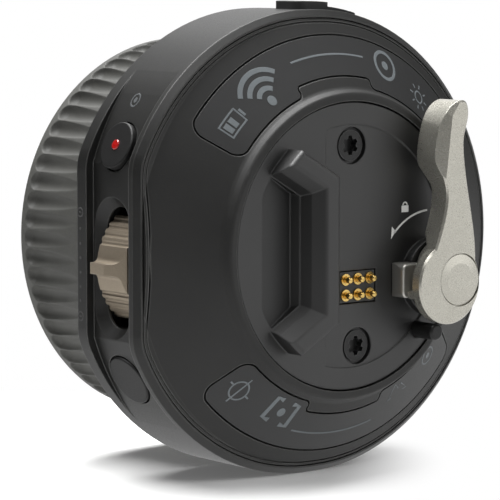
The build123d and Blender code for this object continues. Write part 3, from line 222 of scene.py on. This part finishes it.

# One look for each material slot of the record, one for the rear cover and four for the prints;
# their edge colours are rubbed edges with a painted highlight
LOOKS = {
    "black_shell": dict(SHELL, rough=(0.36, 0.5)),
    "cover_shell": dict(SHELL, rough=(0.48, 0.62)),
    "label_plate": dict(
        dark=(0.01, 0.0102, 0.0104), light=(0.017, 0.0173, 0.0176), rough=(0.42, 0.56),
        strength=0.3, edge_wear_and_highlight=BODY_EDGE_WEAR_AND_HIGHLIGHT,
    ),
    "black_anodised": dict(
        dark=grey(0.003), light=(0.007, 0.007, 0.0068), rough=(0.42, 0.56), specular=0.8,
        grain=(7.0, 0.02), edge=0.4, edge_wear_and_highlight=(grey(0.06), 0.3),
    ),
    "champagne_anodised": dict(
        dark=(0.43, 0.415, 0.365), light=(0.52, 0.505, 0.45), rough=(0.24, 0.34), metallic=0.85,
        grain=(7.0, 0.02), strength=0.3, edge_wear_and_highlight=(BRIGHT_EDGE_WEAR_AND_HIGHLIGHT, 0.5),
    ),
    "bronze_anodised": dict(
        dark=(0.26, 0.215, 0.16), light=(0.38, 0.325, 0.255), rough=(0.38, 0.52), metallic=0.75,
        grain=(7.0, 0.02), edge_wear_and_highlight=((0.5, 0.46, 0.4), 0.5),
    ),
    "plain_aluminium": dict(
        dark=grey(0.45), light=grey(0.6), rough=(0.25, 0.4), metallic=1.0,
        grain=(3.0, 0.01), stretch=(1.0, 0.1, 1.0),
    ),
    "dark_steel": dict(
        dark=grey(0.012), light=grey(0.03), rough=(0.3, 0.45), metallic=0.6,
        grain=(6.0, 0.01), edge_wear_and_highlight=(grey(0.25), 0.6),
    ),
    "bright_steel": dict(
        dark=(0.44, 0.43, 0.4), light=(0.56, 0.55, 0.51), rough=(0.34, 0.46), metallic=0.9,
        grain=(7.0, 0.006), strength=0.2, edge_wear_and_highlight=(BRIGHT_EDGE_WEAR_AND_HIGHLIGHT, 0.6),
    ),
    "bearing_steel": dict(
        dark=(0.55, 0.55, 0.56), light=(0.68, 0.68, 0.69), rough=(0.08, 0.16), metallic=1.0,
        grain=(4.0, 0.004),
    ),
    "gold_contact": dict(
        dark=(0.55, 0.36, 0.1), light=(0.85, 0.6, 0.22), rough=(0.16, 0.3), metallic=1.0,
        grain=(8.0, 0.006), edge=0.05,
    ),
    "insulator": dict(
        dark=(0.02, 0.02, 0.019), light=(0.032, 0.032, 0.03), rough=(0.5, 0.65),
        grain=(5.0, 0.015),
    ),
    "grip_rubber": dict(
        dark=(0.042, 0.042, 0.0384), light=(0.075, 0.075, 0.069), rough=(0.5, 0.68), specular=0.4,
        grain=(4.5, 0.04), strength=0.45, edge=0.45, speck=(1.1, 0.06, (0.12, 0.12, 0.11)),
    ),
    "flap_rubber": dict(
        dark=grey(0.018), light=grey(0.03), rough=(0.6, 0.75), specular=0.35, grain=(5.0, 0.03),
    ),
    "button_plastic": dict(
        dark=grey(0.005), light=grey(0.009), rough=(0.44, 0.58), specular=0.35,
        edge_wear_and_highlight=(grey(0.14), 0.4),
    ),
    "red_jewel": dict(
        dark=(0.2, 0.004, 0.004), light=(0.36, 0.01, 0.009), rough=(0.08, 0.16),
        grain=(3.0, 0.005),
        settings={"Coat Weight": 1.0, "Emission Color": (1.0, 0.02, 0.01, 1.0),
                  "Emission Strength": 0.04},
    ),
    "circuit_board": dict(
        dark=(0.006, 0.05, 0.016), light=(0.012, 0.09, 0.03), rough=(0.3, 0.5),
        grain=(2.0, 0.02), speck=(0.6, 0.12, (0.5, 0.42, 0.2)),
    ),
    "battery_wrap": dict(
        dark=(0.03, 0.045, 0.12), light=(0.05, 0.07, 0.17), rough=(0.25, 0.4), grain=(1.5, 0.03),
    ),
    "gear_plastic": dict(
        dark=(0.6, 0.58, 0.52), light=(0.72, 0.7, 0.64), rough=(0.35, 0.5), grain=(4.0, 0.01),
    ),
    "marking_plate": dict(
        dark=(0.5, 0.5, 0.485), light=(0.6, 0.6, 0.58), rough=(0.5, 0.65), grain=(5.0, 0.015),
    ),
    "display_panel": dict(
        dark=(0.004, 0.005, 0.006), light=(0.008, 0.01, 0.012), rough=(0.12, 0.2),
        grain=(8.0, 0.004),
    ),
    "display_glass": dict(
        dark=(0.01, 0.011, 0.012), light=(0.014, 0.015, 0.016), rough=(0.03, 0.07),
        grain=(1.0, 0.002), settings={"Coat Weight": 1.0, "Coat Roughness": 0.03},
    ),
    "print": dict(
        dark=(0.095, 0.108, 0.115), light=(0.125, 0.14, 0.148), rough=(0.55, 0.7), grain=INK_GRAIN,
    ),
    "white_print": dict(
        dark=(0.5, 0.5, 0.48), light=(0.6, 0.6, 0.58), rough=(0.5, 0.65), grain=INK_GRAIN,
    ),
    "soft_print": dict(
        dark=(0.045, 0.05, 0.053), light=(0.06, 0.066, 0.07), rough=(0.55, 0.7), grain=INK_GRAIN,
    ),
    "dark_print": dict(dark=grey(0.03), light=grey(0.05), rough=(0.5, 0.65), grain=INK_GRAIN),
}
materials = {name: surface(name, **look) for name, look in LOOKS.items()}

# The rear cover is less glossy than the drum, which has the same slot
OWN_LOOKS = {"rear_cover": "cover_shell"}
slots = {entry["node"]: entry["material_slot"] for entry in frame["record"]["subparts"]}
for name, obj in frame["nodes"].items():
    obj.data.materials.clear()
    obj.data.materials.append(materials[OWN_LOOKS.get(name, slots[name])])


# Prints: thin raised shapes that follow the surface under them, in millimetres and degrees
PRINT_LIFT = 0.03
CIRCLE_STEPS = 28
REARWARD = (0, -1, 0)
FORWARD = (0, 1, 0)
LEFTWARD = (-1, 0, 0)


def open_line(points, width):
    return (points, width, False)


def loop(points, width):
    return (points, width, True)


def arc(radius, start, end, steps, center=(0.0, 0.0)):
    angles = [math.radians(start + (end - start) * index / steps) for index in range(steps + 1)]
    return [(center[0] + radius * math.cos(a), center[1] + radius * math.sin(a)) for a in angles]


def circle(radius, center=(0.0, 0.0), steps=CIRCLE_STEPS):
    return arc(radius, 0, 360, steps, center)[:-1]


def spoke(angle, inner, outer):
    """The two ends of a line that points away from the centre, at an angle in radians."""
    return [(reach * math.cos(angle), reach * math.sin(angle)) for reach in (inner, outer)]


def box_points(left, low, right, high):
    return [(left, low), (right, low), (right, high), (left, high)]


def ribbon(points, width, closed):
    """Left and right edge points of a flat line of a width along 2-D points."""
    count = len(points)
    pairs = []
    for index, point in enumerate(points):
        before = points[index - 1] if index or closed else point
        after = points[(index + 1) % count] if index < count - 1 or closed else point
        along = Vector((after[0] - before[0], after[1] - before[1])).normalized()
        across = Vector((-along.y, along.x)) * width / 2
        pairs.append((Vector(point) + across, Vector(point) - across))
    return pairs


def ribbon_mesh(mesh, lines, place):
    """Adds ribbons to a bmesh. place turns a 2-D point into a point in millimetres."""
    for points, width, closed in lines:
        pairs = ribbon(points, width, closed)
        verts = [[mesh.verts.new(Vector(place(*p)) * MM) for p in pair] for pair in pairs]
        steps = len(verts) if closed else len(verts) - 1
        for index in range(steps):
            a = verts[index]
            b = verts[(index + 1) % len(verts)]
            mesh.faces.new((a[0], a[1], b[1], b[0]))


def fill_mesh(mesh, outlines, place):
    """Adds a face for each outline to a bmesh."""
    for points in outlines:
        mesh.faces.new([mesh.verts.new(Vector(place(*p)) * MM) for p in points])


def print_object(name, place, lines=(), fills=(), material="print", body="housing",
                 toward=REARWARD):
    """A print of lines and filled outlines that faces a direction and rides a body."""
    mesh = bmesh.new()
    ribbon_mesh(mesh, lines, place)
    fill_mesh(mesh, fills, place)
    bmesh.ops.recalc_face_normals(mesh, faces=mesh.faces)
    for face in mesh.faces:
        face.normal_update()
        if face.normal.dot(Vector(toward)) < 0:
            face.normal_flip()
    data = bpy.data.meshes.new(name)
    mesh.to_mesh(data)
    mesh.free()
    obj = add_object(name, data)
    data.materials.append(materials[material])
    thick = obj.modifiers.new("thickness", "SOLIDIFY")
    thick.thickness = PRINT_LIFT * MM
    thick.offset = -1.0  # from the printed face down to the surface
    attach(obj, body)


# Surfaces that carry prints
def on_cone(x, z):
    radius = math.hypot(x, z)
    return (x, DRUM_REAR - (CONE_RIM_RADIUS - radius) * CONE_SLOPE - PRINT_LIFT, z)


def on_plate(x, z):
    return (x, PLATE_FLOOR - PRINT_LIFT, z)


def on_flank(y, z):
    return (-FLANK_REACH - PRINT_LIFT, y, z)


def on_channel(y, z):
    x = CHANNEL_CENTER - math.sqrt(CHANNEL_RADIUS ** 2 - z ** 2)
    return (x - PRINT_LIFT, y, z)


def on_disc(x, z):
    return (x, DISC_FRONT + PRINT_LIFT, z)


def stamp(angle, radius, upright):
    """Place on the cone for a flat mark, u to its right and v up.

    Up is outwards for an upright of 1 and inwards for an upright of -1.
    """
    def place(u, v):
        turn = math.radians(angle) - upright * u / radius
        reach = radius + upright * v
        return on_cone(reach * math.cos(turn), reach * math.sin(turn))
    return place


# Lines along the label plates: start and end angle, and width
ARC_LINE_RADIUS = 30.7
ARC_LINE_STEPS = 40
ARC_LINES = {"upper_arc_line": (78, 106.5, 0.3), "lower_arc_line": (-106, -74, 0.27)}
for name, (start, end, width) in ARC_LINES.items():
    line = arc(ARC_LINE_RADIUS, start, end, ARC_LINE_STEPS)
    print_object(name, on_cone, [open_line(line, width)])

# Plain pictograms on the label plates: angle and radius on the cone, and the way up
FINE = 0.26
BOLD = 0.75
MARK_PLACES = {
    "mark_battery": (135.5, 29.3, 1),
    "mark_radio": (120.5, 27.6, 1),
    "mark_ring": (68.7, 30.6, 1),
    "mark_sun": (52.6, 29.2, 1),
    "mark_cross_hair": (-132, 29.5, -1),
    "mark_frame": (-114, 28.6, -1),
    "mark_mountains": (-63, 27.6, -1),
    "mark_dot_ring": (-46, 27.2, -1),
}


def mark(name, lines, fills=()):
    print_object(name, stamp(*MARK_PLACES[name]), lines, fills)


# The long sides of the battery have many points, so that they follow the cone
CASE_LEFT, CASE_STEP, CASE_STEPS = -2.3, 0.42, 10
CASE_EDGE = 1.17
CASE_ENDS = (-2.17, 1.77)
CASE_END_REACH = 1.3
BATTERY_POLE = box_points(2.05, -0.6, 2.5, 0.6)
BATTERY_CELLS = [box_points(-1.75, -0.75, -0.8, 0.75), box_points(-0.5, -0.75, 0.45, 0.75)]
case_places = [CASE_LEFT + CASE_STEP * step for step in range(CASE_STEPS + 1)]
case_lines = [[(u, side * CASE_EDGE) for u in case_places] for side in SIDES]
case_lines += [[(end, -CASE_END_REACH), (end, CASE_END_REACH)] for end in CASE_ENDS]
mark("mark_battery", [open_line(line, FINE) for line in case_lines],
     [BATTERY_POLE] + BATTERY_CELLS)

WAVE_RADII = (1.9, 3.3, 4.7)
WAVE_SPAN = (40, 140)
WAVE_STEPS = 24
RADIO_DOT = 0.75
waves = [open_line(arc(radius, *WAVE_SPAN, WAVE_STEPS), BOLD) for radius in WAVE_RADII]
mark("mark_radio", waves, [circle(RADIO_DOT)])

RING_RADIUS, RING_WIDTH, RING_DOT = 2.2, 0.55, 0.7
mark("mark_ring", [loop(circle(RING_RADIUS), RING_WIDTH)], [circle(RING_DOT)])

SUN_RADIUS = 0.95
SUN_RAYS, RAY_ANGLE = 8, 45
RAY_ENDS = (1.5, 2.2)
rays = [open_line(spoke(math.radians(RAY_ANGLE * index), *RAY_ENDS), FINE)
        for index in range(SUN_RAYS)]
mark("mark_sun", [loop(circle(SUN_RADIUS), FINE)] + rays)

SIGHT_RADIUS = 1.5
CROSS_REACH = 2.3
cross = [
    open_line([(-CROSS_REACH, 0), (CROSS_REACH, 0)], FINE),
    open_line([(0, -CROSS_REACH), (0, CROSS_REACH)], FINE),
]
mark("mark_cross_hair", [loop(circle(SIGHT_RADIUS), FINE)] + cross)

BRACKET_TIP, BRACKET_BACK, BRACKET_HALF = 1.1, 2.4, 1.8
FRAME_DOT = 0.7
BRACKET = [
    (BRACKET_TIP, BRACKET_HALF), (BRACKET_BACK, BRACKET_HALF),
    (BRACKET_BACK, -BRACKET_HALF), (BRACKET_TIP, -BRACKET_HALF),
]
brackets = [open_line([(side * u, v) for u, v in BRACKET], BOLD) for side in SIDES]
mark("mark_frame", brackets, [circle(FRAME_DOT)])

MOUNTAINS = [(-2.2, -1.1), (-0.6, 1.3), (0.2, 0.1), (0.8, 0.8), (2.2, -1.1)]
mark("mark_mountains", [loop(MOUNTAINS, FINE)])

DOT_RING_RADIUS, DOT_RING_DOT = 1.5, 0.5
mark("mark_dot_ring", [loop(circle(DOT_RING_RADIUS), FINE)], [circle(DOT_RING_DOT)])

# Arrow that shows which way the lever locks, and a plain padlock beside it
ARROW_RADIUS = 10.95
ARROW_SPAN = (94, 136)
ARROW_STEPS = 30
ARROW_WIDTH = 0.34
ARROW_HEAD = [(8.9, 0.6), (9.08, 2.63), (9.89, 1.85)]
LOCK_X, LOCK_Z = 11.9, 5.7
LOCK_BODY = box_points(-0.75, -0.85, 0.75, 0.25)
SHACKLE_RADIUS, SHACKLE_HEIGHT, SHACKLE_WIDTH = 0.45, 0.3, 0.24
SHACKLE_STEPS = 14
arrow_arc = arc(ARROW_RADIUS, *ARROW_SPAN, ARROW_STEPS, PIVOT)
lock_body = [(LOCK_X + u, LOCK_Z + v) for u, v in LOCK_BODY]
shackle = arc(SHACKLE_RADIUS, 0, 180, SHACKLE_STEPS, (LOCK_X, LOCK_Z + SHACKLE_HEIGHT))
print_object("lock_arrow", on_plate, [open_line(arrow_arc, ARROW_WIDTH)], [ARROW_HEAD],
             material="white_print")
print_object("lock_padlock", on_plate, [open_line(shackle, SHACKLE_WIDTH)], [lock_body],
             material="white_print")

# Scale beside the thumb rocker: dots between two end rings with a bar in each
SCALE_Y = 23.0
SCALE_BAR = (22.7, 23.3)
SCALE_WIDTH = 0.2
SCALE_DOTS = (3.4, 1.0, -1.25, -3.6, -5.9, -8.1)
SCALE_ENDS = (6.0, -10.6)
SCALE_DOT_RADIUS, SCALE_DOT_STEPS = 0.22, 16
SCALE_RING_RADIUS, SCALE_RING_STEPS = 0.7, 24
dots = [circle(SCALE_DOT_RADIUS, (SCALE_Y, z), SCALE_DOT_STEPS) for z in SCALE_DOTS]
rings = [loop(circle(SCALE_RING_RADIUS, (SCALE_Y, z), SCALE_RING_STEPS), SCALE_WIDTH)
         for z in SCALE_ENDS]
bars = [open_line([(y, z) for y in SCALE_BAR], SCALE_WIDTH) for z in SCALE_ENDS]
print_object("rocker_scale", on_flank, rings + bars, dots, material="dark_print", toward=LEFTWARD)

# A ring with a dot in place of the word above the record button
RECORD_MARK = (16.6, 23.8)
RECORD_RING, RECORD_DOT = 0.95, 0.42
print_object("record_mark", on_channel, [loop(circle(RECORD_RING, RECORD_MARK), FINE)],
             [circle(RECORD_DOT, RECORD_MARK)], material="soft_print", toward=LEFTWARD)

# Ticks round the marking disc at the wheel's front
TICKS = 72
LONG_TICK_EVERY = 6
LONG_TICK_INNER, TICK_INNER, TICK_OUTER = 22.6, 24.0, 25.4
TICK_WIDTH = 0.28
tick_lines = []
for index in range(TICKS):
    turn = 2 * math.pi * index / TICKS
    inner = TICK_INNER if index % LONG_TICK_EVERY else LONG_TICK_INNER
    tick_lines.append(open_line(spoke(turn, inner, TICK_OUTER), TICK_WIDTH))
print_object("disc_ticks", on_disc, tick_lines, material="dark_print", body="focus_wheel",
             toward=FORWARD)


# Stage, in metres: a floor that keeps the shadow near the object and is plain white further away
WHITE = (1, 1, 1, 1)
FLOOR_HEIGHT = -DRUM_RADIUS * MM
FLOOR_SIZE = 0.8
FLOOR_CENTER = (0.22, 0.1)
FLOOR_COLOR = (0.93, 0.93, 0.925, 1)
FLOOR_ROUGHNESS = 0.9
SHADOW_CENTER = (-0.035, 0.05)
SHADOW_REACH = (0.056, 0.076)
SHADOW_LIFT = 0.08
WORLD_LIGHT = 0.17
WORLD_SEEN = 1.0


def floor_material():
    """White to the camera away from the shadow, and white to every mirrored ray."""
    made, tree, shader = new_material("floor_white")
    set_inputs(shader, {"Base Color": FLOOR_COLOR, "Roughness": FLOOR_ROUGHNESS,
                        "Specular IOR Level": 0.0})
    place = node(tree, "ShaderNodeNewGeometry")
    away = node(tree, "ShaderNodeVectorMath", operation="DISTANCE")
    away.inputs[1].default_value = (*SHADOW_CENTER, FLOOR_HEIGHT)
    tree.links.new(place.outputs["Position"], away.inputs[0])
    reach = node(tree, "ShaderNodeMapRange", interpolation_type="SMOOTHSTEP")
    set_inputs(reach, {"From Min": SHADOW_REACH[0], "From Max": SHADOW_REACH[1],
                       "To Min": SHADOW_LIFT})
    tree.links.new(away.outputs["Value"], reach.inputs["Value"])
    path = node(tree, "ShaderNodeLightPath")
    seen = node(tree, "ShaderNodeMath", operation="MULTIPLY")
    tree.links.new(reach.outputs["Result"], seen.inputs[0])
    tree.links.new(path.outputs["Is Camera Ray"], seen.inputs[1])
    factor = node(tree, "ShaderNodeMath", operation="MAXIMUM")
    tree.links.new(seen.outputs[0], factor.inputs[0])
    tree.links.new(path.outputs["Is Glossy Ray"], factor.inputs[1])
    glow = node(tree, "ShaderNodeEmission")
    show_mix(tree, factor.outputs[0], shader.outputs[0], glow.outputs[0])
    return made


bpy.ops.mesh.primitive_plane_add(size=FLOOR_SIZE, location=(*FLOOR_CENTER, FLOOR_HEIGHT))
floor = bpy.context.object
floor.name = "floor"
floor.data.materials.append(floor_material())

# The world is white to the camera and lights the object faintly
world = bpy.context.scene.world or bpy.data.worlds.new("world")
bpy.context.scene.world = world
world.use_nodes = True
sky_tree = world.node_tree
sky = sky_tree.nodes["Background"]
sky.inputs["Color"].default_value = WHITE
sky_level = node(sky_tree, "ShaderNodeMapRange")
set_inputs(sky_level, {"To Min": WORLD_LIGHT, "To Max": WORLD_SEEN})
sky_path = node(sky_tree, "ShaderNodeLightPath")
sky_tree.links.new(sky_path.outputs["Is Camera Ray"], sky_level.inputs["Value"])
sky_tree.links.new(sky_level.outputs["Result"], sky.inputs["Strength"])


def area_light(name, place, aim, size, power):
    data = bpy.data.lights.new(name, "AREA")
    data.shape = "RECTANGLE"
    data.size, data.size_y = size
    data.energy = power
    lamp = add_object(name, data)
    lamp.location = place
    lamp.rotation_euler = look_at(place, aim)


area_light("key_right", place=(0.55, -0.7, 0.33), aim=(0, 0, 0), size=(0.8, 0.8), power=2.95)
area_light("top_soft", place=(-0.05, 0.22, 0.75), aim=(0, 0.02, 0), size=(0.9, 0.5), power=18.5)
area_light("front_top", place=(-0.22, -0.42, 0.62), aim=(-0.02, 0.01, 0.02), size=(0.3, 0.3),
           power=1.0)


def card(name, corner, along, height, color, glow):
    """An upright card on the floor that only mirrored rays see."""
    x, y = corner
    far_x, far_y = x + along[0], y + along[1]
    low, high = FLOOR_HEIGHT, FLOOR_HEIGHT + height
    corners = [(x, y, low), (far_x, far_y, low), (far_x, far_y, high), (x, y, high)]
    mesh = bpy.data.meshes.new(name)
    mesh.from_pydata(corners, [], [(0, 1, 2, 3)])
    made = add_object(name, mesh)
    material, tree, shader = new_material(name)
    set_inputs(shader, {"Base Color": (*grey(color), 1), "Roughness": 1.0,
                        "Specular IOR Level": 0.0, "Emission Color": WHITE,
                        "Emission Strength": glow})
    path = node(tree, "ShaderNodeLightPath")
    clear = node(tree, "ShaderNodeBsdfTransparent")
    show_mix(tree, path.outputs["Is Glossy Ray"], clear.outputs[0], shader.outputs[0])
    mesh.materials.append(material)


# A dark card at the left and a white one behind
card("card_left", corner=(-0.2, -0.185), along=(0.0, 0.685), height=0.3, color=0.01, glow=0.0)
card("card_back", corner=(0.2, 0.55), along=(0.6, -0.15), height=0.45, color=0.0, glow=1.0)

# Camera, fitted to the drum's and the cover's circles in the photo
CAMERA_PLACE = (-0.2992, -0.34967, 0.04835)
CAMERA_AIM = (-0.009084, 0.014383, -0.001147)
CAMERA_LENS = 207.7
CAMERA_SENSOR = 36.0
camera_data = bpy.data.cameras.new("camera")
camera_data.sensor_width = CAMERA_SENSOR
camera_data.lens = CAMERA_LENS
camera = add_object("camera", camera_data)
camera.location = CAMERA_PLACE
camera.rotation_euler = look_at(CAMERA_PLACE, CAMERA_AIM)
bpy.context.scene.camera = camera
bpy.context.scene.view_settings.view_transform = "Standard"
